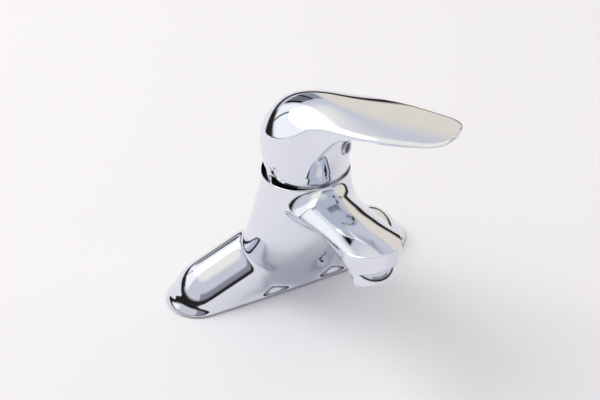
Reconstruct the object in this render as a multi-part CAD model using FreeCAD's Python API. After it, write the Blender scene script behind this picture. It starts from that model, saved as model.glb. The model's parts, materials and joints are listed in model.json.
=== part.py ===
import FreeCAD, Part
import math
import os

# Basin mixer tap with one lever, for a deck with two inlet holes.
# Millimetres. X runs along the base, -Y is the side the spout points to, +Z is up.
# The origin is the middle of the base, on the deck.

V = FreeCAD.Vector
os.makedirs("parts", exist_ok=True)

# Base
base_length = 158.0
base_width = 41.0
base_bow = 1.3
gasket_thickness = 1.2
gasket_inset = 1.3
lip_height = 2.6
flare_height = 6.5
flare_inset = 3.7

# Shoulders over the two inlets
inlet_spacing = 101.6
inlet_bore_radius = 9.3
inlet_depth = 14.0
hump_inset = 0.4
hump_arch = 27.0
hump_low_x = 65.0
hump_low_z = 20.7
hump_high_x = 30.0
hump_high_z = 35.0

# Valve axis, handle rim and lift pivot
valve_y = -20.9
rim_z = 93.5
rim_tilt_deg = 5.7
pivot_z = 90.0
lever_turn_deg = 33.0
lift_deg = 18.0

# Neck
collar_z = 89.8
collar_radius = 24.4
collar_stock = 4.0
mouth_tilt_deg = 8.0
mouth_depth = 3.0
mouth_floor_radius = 22.9
pocket_half_length = 29.0
pocket_bottom_y = -5.0
pocket_bottom_half = 9.0
pocket_top_y = -17.5
pocket_top_half = 13.5
pocket_narrowing = 7.0
running_gap = 0.05
past = 1.0
seat_gap = 0.1

# Cartridge chamber
chamber_floor_z = 53.0
chamber_floor = 5.0
chamber_clearance = 0.15
thread_step = 0.65
upstand_wall = 1.4
upstand_z = 94.0
nut_thread_length = 9.0

# Waterways
waterway_radius = 4.0
waterway_wall = 2.8
waterway_z = 18.0
port_offset = 7.5
port_rise_y = -6.0
bend_x = 10.5
bend_z = 25.0

# Spout and aerator
spout_wall = 2.4
spout_end_radius = 16.0
spout_end_y = -93.4
aerator_tilt_deg = 29.2
aerator_seat_y = -96.6
aerator_seat_z = 77.7
aerator_collar_radius = 12.0
aerator_collar_length = 7.0
aerator_collar_round = 0.6
aerator_boss_wall = 1.4
aerator_thread_radius = 10.8
aerator_thread_length = 7.0
aerator_bore_radius = 9.2
throat_radius = 8.0
washer_thickness = 2.0
aerator_lip = 1.0
insert_bore_radius = 7.4
insert_rib = 1.0
insert_rib_height = 2.5
screen_thickness = 0.8
screen_rings = 4
screen_pitch = 2.4
screen_hole_radius = 0.85
regulator_height = 2.5
regulator_hole_radius = 1.1

# Cartridge
housing_radius = 17.6
housing_wall = 1.4
housing_base_height = 6.0
housing_shoulder_z = 85.0
housing_neck_radius = 12.6
housing_top_z = 98.5
fixed_disc_height = 5.0
moving_disc_height = 4.0
moving_disc_radius = 11.5
mixing_pocket_radius = 4.0
mixing_pocket_y = 4.5
disc_clearance = 0.6
port_radius = 3.4
seal_inner = 4.7
seal_outer = 6.3
seal_height = 1.3
outlet_channel_height = 3.6
port_web = 1.2
outlet_recess = 1.3
outlet_recess_half = 5.5
shoulder_thickness = 2.0
clamp_seal_height = 1.0
rail_half = 8.0
carrier_height = 6.5
carrier_half = 9.5
socket_radius = 3.3
ball_radius = 3.0
ball_drop = 8.0
socket_wall = 1.6
slide_gap = 0.3
stem_foot = 4.0
stem_tail_radius = 2.4
rotor_radius = 9.0
rotor_top_z = 99.5
flange_clearance = 0.4
rotor_flange_height = 3.0
rotor_lift = 1.5
rail_lift = 1.0
stem_square = 7.6
stem_top_z = 119.0
pin_radius = 1.5
pin_inset = 0.4
stop_ring_height = 2.0
stop_ring_wall = 2.2
stop_ring_gap = 5.0
nut_top_z = 97.0

# Handle
skirt_clearance = 0.6
skirt_wall = 1.8
barrel_radius = 25.0
barrel_bulge_z = 109.0
barrel_shoulder_radius = 23.6
barrel_shoulder_z = 122.0
handle_wall = 2.6
handle_ceiling_z = 124.0
lever_half_width = 17.6
lever_tip_half_width = 14.2
lever_reach = 86.5
lever_tip_round = 5.0
tip_sagitta = 6.5
lever_arch_z = 112.0
lever_root_depth = 7.0
lever_arch_out = 1.5
lever_arch_rise = 14.0
handle_clear_z = 170.0
lever_underside_reach = 38.0
lever_underside_z = 132.0
lever_tip_underside_z = 141.0
rib_half = 4.8
socket_boss_radius = 8.0
socket_boss_z = 104.0
weep_slot_width = 2.4
weep_slot_height = 5.5
weep_slot_angle = 102.0
weep_slot_z = 100.5
screw_z = 112.5
screw_radius = 2.4
screw_length = 8.0
plug_hole_radius = 3.5
plug_head_radius = 4.2
plug_head_height = 1.7
plug_lens_radius = 2.9
plug_lens_depth = 0.6
plug_lens_bulge = 0.5
plug_seat = 24.3
plug_shank = 5.0
screw_key = 2.5
screw_key_depth = 3.0

# Radii that follow the cartridge, from the inside out
housing_bore = housing_radius - housing_wall
disc_radius = housing_bore - disc_clearance
rotor_flange_radius = housing_bore - flange_clearance
chamber_radius = housing_radius + chamber_clearance
nut_thread_radius = chamber_radius + thread_step
nut_flats = (nut_thread_radius - 2 * seat_gap) * math.sqrt(3)
upstand_radius = nut_thread_radius + upstand_wall
skirt_radius = upstand_radius + skirt_clearance + skirt_wall

valve_axis = V(0, valve_y, 0)
aerator_tilt = math.radians(aerator_tilt_deg)
aerator_down = V(0, -math.sin(aerator_tilt), -math.cos(aerator_tilt))
aerator_seat = V(0, aerator_seat_y, aerator_seat_z)


def cylinder(radius, z0, z1, centre=V(0, 0, 0)):
    return Part.makeCylinder(radius, z1 - z0, centre + V(0, 0, z0))


def ring(outer, inner, z0, z1, centre=V(0, 0, 0)):
    return cylinder(outer, z0, z1, centre).cut(cylinder(inner, z0 - past, z1 + past, centre))


def block(x0, x1, y0, y1, z0, z1):
    return Part.makeBox(x1 - x0, y1 - y0, z1 - z0, V(x0, y0, z0))


def rod(radius, start, end):
    run = end - start
    return Part.makeCylinder(radius, run.Length, start, run)


def fused(shapes):
    return shapes[0].fuse(shapes[1:])


def loft(wires):
    return Part.makeLoft(wires, True, False)


def at_valve(shape):
    shape.translate(valve_axis)
    return shape


def turned_with_lever(shape):
    # The handle is modelled with its lever along -Y, and then turned to where it rests.
    shape.rotate(V(0, 0, 0), V(0, 0, 1), lever_turn_deg)
    return at_valve(shape)


def save(shape, node):
    shape.exportStep("parts/" + node + ".step")


# Base outline: two long bowed sides joined by tangent round ends.
half_length = base_length / 2
half_width = base_width / 2
bow_span = half_length - half_width
bow_radius = (bow_span ** 2 + base_bow ** 2) / (2 * base_bow)
bow_centre_y = bow_radius - half_width
end_radius = ((bow_radius ** 2 - half_length ** 2 - bow_centre_y ** 2)
              / (2 * (bow_radius - half_length)))
end_centre_x = half_length - end_radius


def base_outline(inset, z):
    radius = end_radius - inset
    angle = math.atan2(bow_centre_y, end_centre_x)
    tx = end_centre_x + radius * math.cos(angle)
    ty = radius * math.sin(angle)
    reach = end_centre_x + radius
    middle = half_width - inset
    right = Part.Arc(V(tx, -ty, z), V(reach, 0, z), V(tx, ty, z)).toShape()
    back = Part.Arc(V(tx, ty, z), V(0, middle, z), V(-tx, ty, z)).toShape()
    left = Part.Arc(V(-tx, ty, z), V(-reach, 0, z), V(-tx, -ty, z)).toShape()
    front = Part.Arc(V(-tx, -ty, z), V(0, -middle, z), V(tx, -ty, z)).toShape()
    return Part.Wire([right, back, left, front])


def base_slab(inset, z0, z1):
    return Part.Face(base_outline(inset, z0)).extrude(V(0, 0, z1 - z0))


def foot():
    bottom = gasket_thickness
    lip = base_slab(0, bottom, lip_height)
    flare = Part.makeLoft([base_outline(0, lip_height),
                           base_outline(flare_inset, flare_height)], True, True)
    return lip.fuse(flare)


def hump(side):
    # A pod over each inlet: an arch across the base, round at both ends, that slopes down
    # to the outer end.
    radius = end_radius - hump_inset
    length = end_centre_x - hump_high_x
    depth = radius
    top = V(0, 0, hump_arch)
    flank = V(0, radius, 0)
    arch = Part.Ellipse(top, flank, V(0, 0, 0))
    quarter = Part.ArcOfEllipse(arch, 0, math.pi / 2).toShape()
    wall = Part.makePolygon([flank, V(0, radius, -depth), V(0, 0, -depth), top])
    profile = Part.Face(Part.Wire([quarter] + wall.Edges))
    inner = profile.revolve(V(0, 0, 0), V(0, 0, 1), 180)
    outer = inner.mirror(V(0, 0, 0), V(1, 0, 0))
    outer.translate(V(length, 0, 0))
    front = profile.mirror(V(0, 0, 0), V(0, 1, 0))
    pieces = [inner, outer, profile.extrude(V(length, 0, 0)), front.extrude(V(length, 0, 0))]
    slope = (hump_high_z - hump_low_z) / (hump_low_x - hump_high_x)
    lean = FreeCAD.Matrix()
    lean.A31 = -slope
    pod = fused([piece.transformGeometry(lean) for piece in pieces])
    pod.translate(V(hump_high_x, 0, hump_high_z - hump_arch))
    above = block(0, half_length + past, -half_width, half_width, gasket_thickness, 2 * hump_high_z)
    pod = pod.common(above)
    if side < 0:
        pod = pod.mirror(V(0, 0, 0), V(1, 0, 0))
    return pod


def ellipse(z, y, half_x, half_y):
    return Part.Wire([Part.Ellipse(V(0, y, z), half_x, half_y).toShape()])


def neck_sections():
    # Height, centre along Y, half width along X, half width along Y.
    rows = [(gasket_thickness, 0.0, 44.0, 19.4),
            (8.0, -1.0, 38.5, 18.6),
            (18.0, -4.5, 35.5, 19.8),
            (32.0, -9.5, 33.5, 22.4),
            (50.0, -15.5, 31.2, 25.4),
            (70.0, -18.8, 27.6, 25.0)]
    wires = [ellipse(*row) for row in rows]
    top_circle = Part.Circle(V(0, valve_y, collar_z + collar_stock), V(0, 0, 1), collar_radius)
    return wires + [Part.Wire([top_circle.toShape()])]


def mouth():
    # The top of the neck is a shallow dish with a crisp outer edge, higher towards the spout,
    # that leaves room for the skirt when the lever is lifted.
    points = [V(0, 0, -mouth_depth), V(mouth_floor_radius, 0, -mouth_depth),
              V(collar_radius, 0, 0), V(collar_radius * 1.2, 0, 0),
              V(collar_radius * 1.2, 0, collar_radius), V(0, 0, collar_radius)]
    dish = Part.Face(Part.makePolygon(points + [points[0]]))
    dish = dish.revolve(V(0, 0, 0), V(0, 0, 1), 360)
    dish.rotate(V(0, 0, 0), V(1, 0, 0), -mouth_tilt_deg)
    dish.translate(V(0, valve_y, collar_z))
    return dish


def base_pocket():
    # The casting is hollow under the valve, open to the deck.
    low = ellipse(0, pocket_bottom_y, pocket_half_length, pocket_bottom_half)
    high = ellipse(chamber_floor_z - chamber_floor, pocket_top_y,
                   pocket_half_length - pocket_narrowing, pocket_top_half)
    pocket = Part.makeLoft([low, high], True, True)
    for side in (-1, 1):
        for pipe in waterway(side, waterway_radius + waterway_wall):
            pocket = pocket.cut(pipe)
    return pocket


def spout_section(y, half, edge_z, ridge_z, keel_half, keel_side_z, keel_z, wall):
    half = half - wall
    keel_half = keel_half - wall * 0.5
    edge_z = edge_z - wall * 0.3
    ridge_z = ridge_z - wall
    keel_side_z = keel_side_z + wall
    keel_z = keel_z + wall
    left = V(-half, y, edge_z)
    right = V(half, y, edge_z)
    low_left = V(-keel_half, y, keel_side_z)
    low_right = V(keel_half, y, keel_side_z)
    crown = Part.Arc(left, V(0, y, ridge_z), right).toShape()
    down = Part.LineSegment(right, low_right).toShape()
    keel = Part.Arc(low_right, V(0, y, keel_z), low_left).toShape()
    up = Part.LineSegment(low_left, left).toShape()
    return Part.Wire([crown, down, keel, up])


spout_rows = [(-18.0, 21.5, 68.0, 84.0, 9.0, 46.0, 43.0),
              (-34.0, 20.3, 76.0, 91.0, 8.0, 58.0, 54.5),
              (-50.0, 18.2, 81.0, 91.3, 6.5, 67.0, 64.5),
              (-66.0, 17.0, 86.0, 93.0, 6.5, 74.5, 72.5),
              (-80.0, 16.3, 89.0, 94.8, 9.0, 75.0, 73.0),
              (-92.0, 16.1, 91.4, 95.8, 11.0, 77.5, 76.0),
              (-112.0, 16.1, 93.4, 96.0, 12.0, 88.0, 87.0)]


def spout_outer():
    blade = loft([spout_section(*row, 0.0) for row in spout_rows])
    reach = block(-half_width * 2, half_width * 2, spout_end_y, 0, 0, rim_z + upstand_z)
    nose = cylinder(spout_end_radius, 0, rim_z + upstand_z, V(0, spout_end_y, 0))
    blade = blade.common(reach.fuse(nose))
    below = rod(half_width * 2, aerator_seat, aerator_seat + aerator_down * rim_z)
    boss_radius = aerator_collar_radius + aerator_boss_wall
    boss_top = aerator_seat - aerator_down * (aerator_thread_length + washer_thickness)
    boss = rod(boss_radius, aerator_seat, boss_top)
    return blade.cut(below).fuse(boss)


def spout_channel():
    rows = [row for row in spout_rows if -95 < row[0] < -30]
    inner = loft([spout_section(*row, spout_wall) for row in rows])
    socket_top = aerator_seat - aerator_down * (aerator_thread_length + washer_thickness)
    socket = rod(aerator_thread_radius + running_gap, aerator_seat, socket_top)
    throat = rod(throat_radius, aerator_seat, socket_top - aerator_down * 4)
    # Water leaves the cartridge at its foot and climbs a shallow recess into the spout.
    foot_z = chamber_floor_z + housing_base_height - outlet_channel_height
    recess = block(-outlet_recess_half, outlet_recess_half,
                   valve_y - chamber_radius - outlet_recess, valve_y,
                   foot_z, foot_z + chamber_radius * 0.6)
    below = rod(half_width * 2, socket_top, aerator_seat + aerator_down * rim_z)
    return [inner.cut(below), socket, throat, recess]


def waterway(side, radius):
    inlet = V(side * inlet_spacing / 2, 0, waterway_z)
    bend = V(side * bend_x, port_rise_y, bend_z)
    port = V(side * port_offset, valve_y, chamber_floor_z)
    return [rod(radius, inlet, bend), Part.makeSphere(radius, bend), rod(radius, bend, port),
            Part.makeSphere(radius, inlet)]


def body_casting():
    shell = fused([foot(), hump(1), hump(-1), loft(neck_sections()), spout_outer()])
    upstand_low = collar_z - 2 * mouth_depth - collar_stock
    upstand = cylinder(upstand_radius, upstand_low, upstand_z, valve_axis)
    outer = shell.cut(mouth()).fuse(upstand)
    thread_z = upstand_z - nut_thread_length
    hollows = [base_pocket(),
               cylinder(chamber_radius, chamber_floor_z, upstand_z + past, valve_axis),
               cylinder(nut_thread_radius, thread_z, upstand_z + past, valve_axis)]
    for side in (-1, 1):
        inlet = V(side * inlet_spacing / 2, 0, 0)
        depth = gasket_thickness + inlet_depth
        hollows.append(cylinder(inlet_bore_radius, 0, depth, inlet))
        hollows.append(cylinder(waterway_radius, depth - past, waterway_z, inlet))
        hollows = hollows + waterway(side, waterway_radius)
    return outer.cut(hollows + spout_channel())


def base_gasket():
    # A thin rubber sheet between the casting and the deck, open only at the two inlets.
    sheet = base_slab(gasket_inset, 0, gasket_thickness)
    holes = []
    for side in (-1, 1):
        inlet = V(side * inlet_spacing / 2, 0, 0)
        holes.append(cylinder(inlet_bore_radius + gasket_inset, -past,
                              gasket_thickness + past, inlet))
    return sheet.cut(holes)


# Cartridge: heights are stacked from the chamber floor.
base_top_z = chamber_floor_z + housing_base_height
fixed_top_z = base_top_z + fixed_disc_height
moving_top_z = fixed_top_z + moving_disc_height
carrier_top_z = moving_top_z + carrier_height
ball_z = pivot_z - ball_drop
flange_top_z = housing_shoulder_z - shoulder_thickness - running_gap * 4
flange_low_z = flange_top_z - rotor_flange_height
ball_travel = ball_drop * math.sin(math.radians(lift_deg))
stem_foot_swing = stem_foot * math.sin(math.radians(lift_deg))
rail_outer = math.sqrt((housing_bore - slide_gap) ** 2 - rail_half ** 2)
outlet_half = port_offset - port_radius - port_web
socket_outer = socket_radius + socket_wall
screw_start = stem_square / 2 + running_gap


def port_seals():
    rings = []
    for side in (-1, 1):
        centre = valve_axis + V(side * port_offset, 0, 0)
        rings.append(ring(seal_outer, seal_inner, chamber_floor_z,
                          chamber_floor_z + seal_height, centre))
    return Part.makeCompound(rings)


def cartridge_base():
    disc = cylinder(housing_radius - seat_gap, chamber_floor_z, base_top_z)
    holes = []
    for side in (-1, 1):
        port = V(side * port_offset, 0, 0)
        holes.append(cylinder(port_radius, chamber_floor_z - past, base_top_z + past, port))
        holes.append(cylinder(seal_outer + running_gap, chamber_floor_z - past,
                              chamber_floor_z + seal_height, port))
    outlet_low = base_top_z - outlet_channel_height
    holes.append(cylinder(outlet_half, outlet_low, base_top_z + past, V(0, port_offset, 0)))
    holes.append(block(-outlet_half, outlet_half, -housing_radius - past, port_offset,
                       outlet_low, base_top_z - port_web))
    return at_valve(disc.cut(holes))


def fixed_disc():
    disc = cylinder(disc_radius, base_top_z, fixed_top_z)
    holes = [cylinder(outlet_half, base_top_z - past, fixed_top_z + past, V(0, port_offset, 0))]
    for side in (-1, 1):
        holes.append(cylinder(port_radius, base_top_z - past, fixed_top_z + past,
                              V(side * port_offset, 0, 0)))
    return at_valve(disc.cut(holes))


def moving_disc():
    # Closed position: the mixing pocket on its underside is shifted away from the inlets.
    low = fixed_top_z + running_gap
    disc = cylinder(moving_disc_radius, low, moving_top_z)
    pocket = cylinder(mixing_pocket_radius, low - past, low + moving_disc_height / 2,
                      V(0, mixing_pocket_y, 0))
    return turned_with_lever(disc.cut(pocket))


def disc_carrier():
    # Slides across the cartridge inside the rotor's rails, moved by the ball of the stem.
    low = moving_top_z
    half = carrier_half
    plate = block(-half, half, -half, half, low, carrier_top_z)
    collar = cylinder(socket_outer, carrier_top_z - past, ball_z + ball_radius / 2)
    socket = cylinder(socket_radius, ball_z - ball_radius - slide_gap, ball_z + ball_radius)
    return turned_with_lever(plate.fuse([collar]).cut([socket]))


def cartridge_housing():
    wall = ring(housing_radius, housing_bore, base_top_z, housing_shoulder_z)
    lid_low = housing_shoulder_z - shoulder_thickness
    lid = ring(housing_bore + housing_wall / 2, rotor_radius + running_gap * 2, lid_low,
               housing_shoulder_z)
    neck = ring(housing_neck_radius, rotor_radius + running_gap * 2, lid_low, housing_top_z)
    return at_valve(wall.fuse([lid, neck]))


def rotor():
    barrel = cylinder(rotor_radius, carrier_top_z + rotor_lift, rotor_top_z)
    flange = cylinder(rotor_flange_radius, flange_low_z, flange_top_z)
    gap = carrier_half + slide_gap
    solid = [flange]
    for side in (-1, 1):
        x0, x1 = sorted((side * gap, side * rail_outer))
        solid.append(block(x0, x1, -rail_half, rail_half, moving_top_z + rail_lift, flange_low_z))
    collar_half = socket_outer + slide_gap
    stem_half = stem_square / 2 + slide_gap / 2
    rise = rotor_top_z - pivot_z
    front = stem_square / 2 + stem_foot_swing + slide_gap
    lift = math.radians(lift_deg)
    lean = stem_square / 2 / math.cos(lift) + rise * math.tan(lift) + slide_gap
    cuts = [block(-collar_half, collar_half, -collar_half - ball_travel, collar_half,
                  carrier_top_z, ball_z + ball_radius / 2 + slide_gap),
            block(-stem_half, stem_half, -front, lean, ball_z, rotor_top_z + past),
            rod(pin_radius, V(-rotor_radius - past, 0, pivot_z),
                V(rotor_radius + past, 0, pivot_z))]
    return turned_with_lever(barrel.fuse(solid).cut(cuts))


def stem():
    half = stem_square / 2
    shaft = block(-half, half, -half, half, pivot_z - stem_foot, stem_top_z)
    tail = cylinder(stem_tail_radius, ball_z, pivot_z - stem_foot / 2)
    ball = Part.makeSphere(ball_radius, V(0, 0, ball_z))
    eye = rod(pin_radius + running_gap, V(-half - past, 0, pivot_z),
              V(half + past, 0, pivot_z))
    return turned_with_lever(shaft.fuse([tail, ball]).cut([eye]))


def stem_pin():
    end = rotor_radius - pin_inset
    return turned_with_lever(rod(pin_radius, V(-end, 0, pivot_z), V(end, 0, pivot_z)))


def clamp_seal():
    return ring(housing_radius - slide_gap, housing_neck_radius + slide_gap, housing_shoulder_z,
                housing_shoulder_z + clamp_seal_height, valve_axis)


def hexagon(flats, z0, z1):
    corner = flats / math.sqrt(3)
    points = [V(corner * math.cos(math.radians(60 * i)), corner * math.sin(math.radians(60 * i)), z0)
              for i in range(7)]
    return Part.Face(Part.makePolygon(points)).extrude(V(0, 0, z1 - z0))


def retaining_nut():
    low = housing_shoulder_z + clamp_seal_height
    thread = cylinder(nut_thread_radius - seat_gap, low, upstand_z)
    head = hexagon(nut_flats, upstand_z - past, nut_top_z)
    bore = cylinder(housing_neck_radius + seat_gap, low - past, nut_top_z + past)
    return at_valve(thread.fuse([head]).cut([bore]))


def temperature_stop():
    # An open plastic ring that sits on the nut round the cartridge's neck.
    band = ring(housing_neck_radius + stop_ring_wall, housing_neck_radius + seat_gap, nut_top_z,
                nut_top_z + stop_ring_height)
    gap = block(-stop_ring_gap / 2, stop_ring_gap / 2, -housing_radius, 0, nut_top_z - past,
                nut_top_z + stop_ring_height + past)
    return turned_with_lever(band.cut([gap]))


# Handle: rows of distance along the lever, height of the ridge, and how fast the top falls away
# from the ridge (mm of drop per square mm of distance to the side).
crown_rows = [(-34.0, 84.0, 0.052),
              (-26.5, 111.0, 0.050),
              (-22.5, 122.0, 0.045),
              (-15.0, 131.8, 0.0375),
              (-5.0, 137.0, 0.0320),
              (6.0, 139.6, 0.0300),
              (16.0, 140.0, 0.0320),
              (28.0, 139.9, 0.0215),
              (45.0, 140.5, 0.0100),
              (65.0, 141.8, 0.0083),
              (92.0, 145.2, 0.0080)]
crown_half = 32.0
crown_depth = 62.0


def crown(shift, drop):
    # Everything below the handle's top surface, down to well under the rim.
    poles = []
    for reach, ridge, fall in crown_rows:
        y = -reach - shift
        fall_at_side = fall * crown_half ** 2
        side = ridge - drop - fall_at_side
        poles.append([V(-crown_half, y, side), V(0, y, ridge - drop + fall_at_side),
                      V(crown_half, y, side)])
    spans = len(crown_rows) - 3
    surface = Part.BSplineSurface()
    surface.buildFromPolesMultsKnots(poles, [4] + [1] * (spans - 1) + [4], [3, 3],
                                     list(range(spans + 1)), [0, 1], False, False, 3, 2)
    return surface.toShape().extrude(V(0, 0, -crown_depth))


def barrel(wall, low, high):
    rim = V(skirt_radius - wall, 0, low)
    shoulder = V(barrel_shoulder_radius - wall, 0, barrel_shoulder_z)
    side = Part.Arc(rim, V(barrel_radius - wall, 0, barrel_bulge_z), shoulder).toShape()
    points = [shoulder, V(shoulder.x, 0, high), V(0, 0, high), V(0, 0, low), rim]
    lines = [Part.LineSegment(points[i], points[i + 1]).toShape() for i in range(4)]
    face = Part.Face(Part.Wire([side] + lines))
    return face.revolve(V(0, 0, 0), V(0, 0, 1), 360)


def lever_plan():
    tip_side = lever_reach - tip_sagitta
    corners = [V(-lever_half_width, 0, 100), V(-lever_half_width, -lever_reach / 2, 100),
               V(-lever_tip_half_width, -tip_side, 100)]
    mirrored = [V(-point.x, point.y, point.z) for point in reversed(corners)]
    left = [Part.LineSegment(corners[i], corners[i + 1]).toShape() for i in range(2)]
    tip = Part.Arc(corners[2], V(0, -lever_reach, 100), mirrored[0]).toShape()
    right = [Part.LineSegment(mirrored[i], mirrored[i + 1]).toShape() for i in range(2)]
    back = Part.LineSegment(mirrored[2], corners[0]).toShape()
    plan = Part.Face(Part.Wire(left + [tip] + right + [back])).extrude(V(0, 0, 70))
    corner_edges = [e for e in plan.Edges if abs(e.BoundBox.XLength) < 0.01
                    and abs(e.BoundBox.YLength) < 0.01 and e.BoundBox.YMax < -lever_reach / 2 - 1]
    return plan.makeFillet(lever_tip_round, corner_edges)


def lever_side():
    low = V(0, -barrel_radius + lever_root_depth, lever_arch_z)
    arch = Part.Arc(low, V(0, -barrel_radius - lever_arch_out, lever_arch_z + lever_arch_rise),
                    V(0, -lever_underside_reach, lever_underside_z)).toShape()
    end = V(0, -lever_reach - past, lever_tip_underside_z)
    points = [V(0, -lever_underside_reach, lever_underside_z), end,
              V(0, end.y, handle_clear_z), V(0, 0, handle_clear_z), V(0, 0, lever_arch_z), low]
    lines = [Part.LineSegment(points[i], points[i + 1]).toShape() for i in range(5)]
    face = Part.Face(Part.Wire([arch] + lines))
    face.translate(V(-lever_reach, 0, 0))
    return face.extrude(V(2 * lever_reach, 0, 0))


def weep_slot():
    # A small upright slot through the skirt.
    half = weep_slot_width / 2
    straight = weep_slot_height / 2 - half
    slot = block(-half, half, -30, -15, weep_slot_z - straight, weep_slot_z + straight)
    ends = [rod(half, V(0, -15, weep_slot_z + way * straight),
                V(0, -30, weep_slot_z + way * straight)) for way in (-1, 1)]
    slot = slot.fuse(ends)
    slot.rotate(V(0, 0, 0), V(0, 0, 1), -weep_slot_angle)
    return slot


def handle():
    top = handle_clear_z
    blade = lever_plan().common(lever_side())
    rim_low_z = rim_z - skirt_radius * math.tan(math.radians(rim_tilt_deg))
    outer = barrel(0, rim_low_z, top).fuse([blade]).common(crown(0, 0))
    below = block(-half_width * 2, half_width * 2, -half_width * 2, half_width * 2, -rim_z, 0)
    below.rotate(V(0, 0, 0), V(1, 0, 0), rim_tilt_deg)
    below.translate(V(0, 0, rim_z))
    outer = outer.cut(below)
    cavity = barrel(skirt_wall, rim_low_z - past, handle_ceiling_z)
    cavity = cavity.common(crown(handle_wall / 2, handle_wall))
    boss = cylinder(socket_boss_radius, socket_boss_z, top)
    rib = block(-rib_half, rib_half, -barrel_radius, 0, screw_z - rib_half, screw_z + rib_half)
    cavity = cavity.cut([boss, rib])
    half = stem_square / 2 + running_gap
    socket = block(-half, half, -half, half, socket_boss_z - past, stem_top_z + slide_gap)
    screw_end = screw_start + screw_length
    thread = rod(screw_radius + running_gap, V(0, 0, screw_z), V(0, -screw_end - past, screw_z))
    outside = V(0, -barrel_radius * 1.5, screw_z)
    access = rod(plug_hole_radius, V(0, -screw_end - past / 2, screw_z), outside)
    seat_end = V(0, -plug_seat - plug_head_height * 2, screw_z)
    seat = rod(plug_head_radius + seat_gap, V(0, -plug_seat, screw_z), seat_end)
    return turned_with_lever(outer.cut([cavity, socket, thread, access, seat, weep_slot()]))


def handle_screw():
    start = V(0, -screw_start, screw_z)
    end = V(0, -screw_start - screw_length, screw_z)
    body = rod(screw_radius, start, end)
    key = hexagon(screw_key, 0, screw_key_depth)
    key.rotate(V(0, 0, 0), V(1, 0, 0), 90)
    key.translate(V(0, end.y + screw_key_depth, screw_z))
    return turned_with_lever(body.cut([key]))


def index_plug():
    shank_end = plug_seat - plug_shank
    shank = rod(plug_hole_radius - running_gap, V(0, -shank_end, screw_z),
                V(0, -plug_seat - 0.2, screw_z))
    head = rod(plug_head_radius, V(0, -plug_seat, screw_z),
               V(0, -plug_seat - plug_head_height, screw_z))
    rim = [e for e in head.Edges if e.BoundBox.YMin < -plug_seat - plug_head_height + 0.01
           and abs(e.BoundBox.YLength) < 0.01]
    head = head.makeFillet(plug_head_height * 0.35, rim)
    front = -plug_seat - plug_head_height
    recess = rod(plug_lens_radius, V(0, front + plug_lens_depth, screw_z), V(0, front - 2, screw_z))
    return turned_with_lever(shank.fuse([head]).cut([recess]))


def index_lens():
    front = -plug_seat - plug_head_height
    lens = rod(plug_lens_radius, V(0, front + plug_lens_depth, screw_z),
               V(0, front - plug_lens_bulge, screw_z))
    rim = [e for e in lens.Edges if e.BoundBox.YMax < front + 0.01
           and abs(e.BoundBox.YLength) < 0.01]
    return turned_with_lever(lens.makeFillet(plug_lens_bulge * 0.8, rim))


# Aerator: built upright with its seat at height 0, then tilted and moved to the spout's end.
def at_aerator(shape):
    shape.rotate(V(0, 0, 0), V(1, 0, 0), -aerator_tilt_deg)
    shape.translate(aerator_seat)
    return shape


def aerator_housing():
    collar = cylinder(aerator_collar_radius, -aerator_collar_length, 0)
    thread = cylinder(aerator_thread_radius, -1, aerator_thread_length)
    lip = aerator_lip
    bore = cylinder(aerator_bore_radius, -aerator_collar_length + lip, aerator_thread_length + past)
    mouth = cylinder(aerator_bore_radius - lip, -aerator_collar_length - past, 0)
    edge = [e for e in collar.Edges if e.BoundBox.ZMax < -aerator_collar_length + 0.01]
    collar = collar.makeFillet(aerator_collar_round, edge)
    return at_aerator(collar.fuse([thread]).cut([bore, mouth]))


def aerator_washer():
    washer = ring(aerator_thread_radius - 0.1, aerator_bore_radius - 0.8, aerator_thread_length,
                  aerator_thread_length + washer_thickness)
    return at_aerator(washer)


def aerator_insert():
    low = -aerator_collar_length + aerator_lip
    tube = ring(aerator_bore_radius - running_gap, insert_bore_radius, low, aerator_thread_length)
    ribs = []
    for turn in (0, 60, 120):
        rib = block(-insert_bore_radius - slide_gap, insert_bore_radius + slide_gap,
                    -insert_rib / 2, insert_rib / 2, 0.0, insert_rib_height)
        rib.rotate(V(0, 0, 0), V(0, 0, 1), turn)
        ribs.append(rib)
    return at_aerator(tube.fuse(ribs))


def aerator_screen():
    low = -aerator_collar_length + aerator_lip
    disc = cylinder(insert_bore_radius, low, low + screen_thickness)
    holes = []
    for row in range(-screen_rings, screen_rings + 1):
        for column in range(-screen_rings, screen_rings + 1):
            x = screen_pitch * (column + row / 2)
            y = screen_pitch * row * math.sqrt(3) / 2
            if math.hypot(x, y) < insert_bore_radius - screen_hole_radius - slide_gap:
                holes.append(cylinder(screen_hole_radius, low - past,
                                      low + screen_thickness + past, V(x, y, 0)))
    return at_aerator(disc.cut(holes))


def flow_regulator():
    low = aerator_thread_length - regulator_height
    disc = cylinder(insert_bore_radius, low, aerator_thread_length)
    holes = []
    circle = insert_bore_radius - regulator_hole_radius * 2.5
    for step in range(6):
        angle = math.radians(60 * step)
        centre = V(circle * math.cos(angle), circle * math.sin(angle), 0)
        holes.append(cylinder(regulator_hole_radius, low - past, aerator_thread_length + past,
                              centre))
    return at_aerator(disc.cut(holes))


save(body_casting(), "body_casting")
save(base_gasket(), "base_gasket")
save(port_seals(), "port_seals")
save(cartridge_base(), "cartridge_base")
save(fixed_disc(), "fixed_disc")
save(moving_disc(), "moving_disc")
save(disc_carrier(), "disc_carrier")
save(cartridge_housing(), "cartridge_housing")
save(rotor(), "rotor")
save(stem(), "stem")
save(stem_pin(), "stem_pin")
save(clamp_seal(), "clamp_seal")
save(retaining_nut(), "retaining_nut")
save(temperature_stop(), "temperature_stop")
save(handle(), "handle")
save(handle_screw(), "handle_screw")
save(index_plug(), "index_plug")
save(index_lens(), "index_lens")
save(aerator_housing(), "aerator_housing")
save(aerator_washer(), "aerator_washer")
save(aerator_insert(), "aerator_insert")
save(aerator_screen(), "aerator_screen")
save(flow_regulator(), "flow_regulator")
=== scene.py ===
import json
import math

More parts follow.
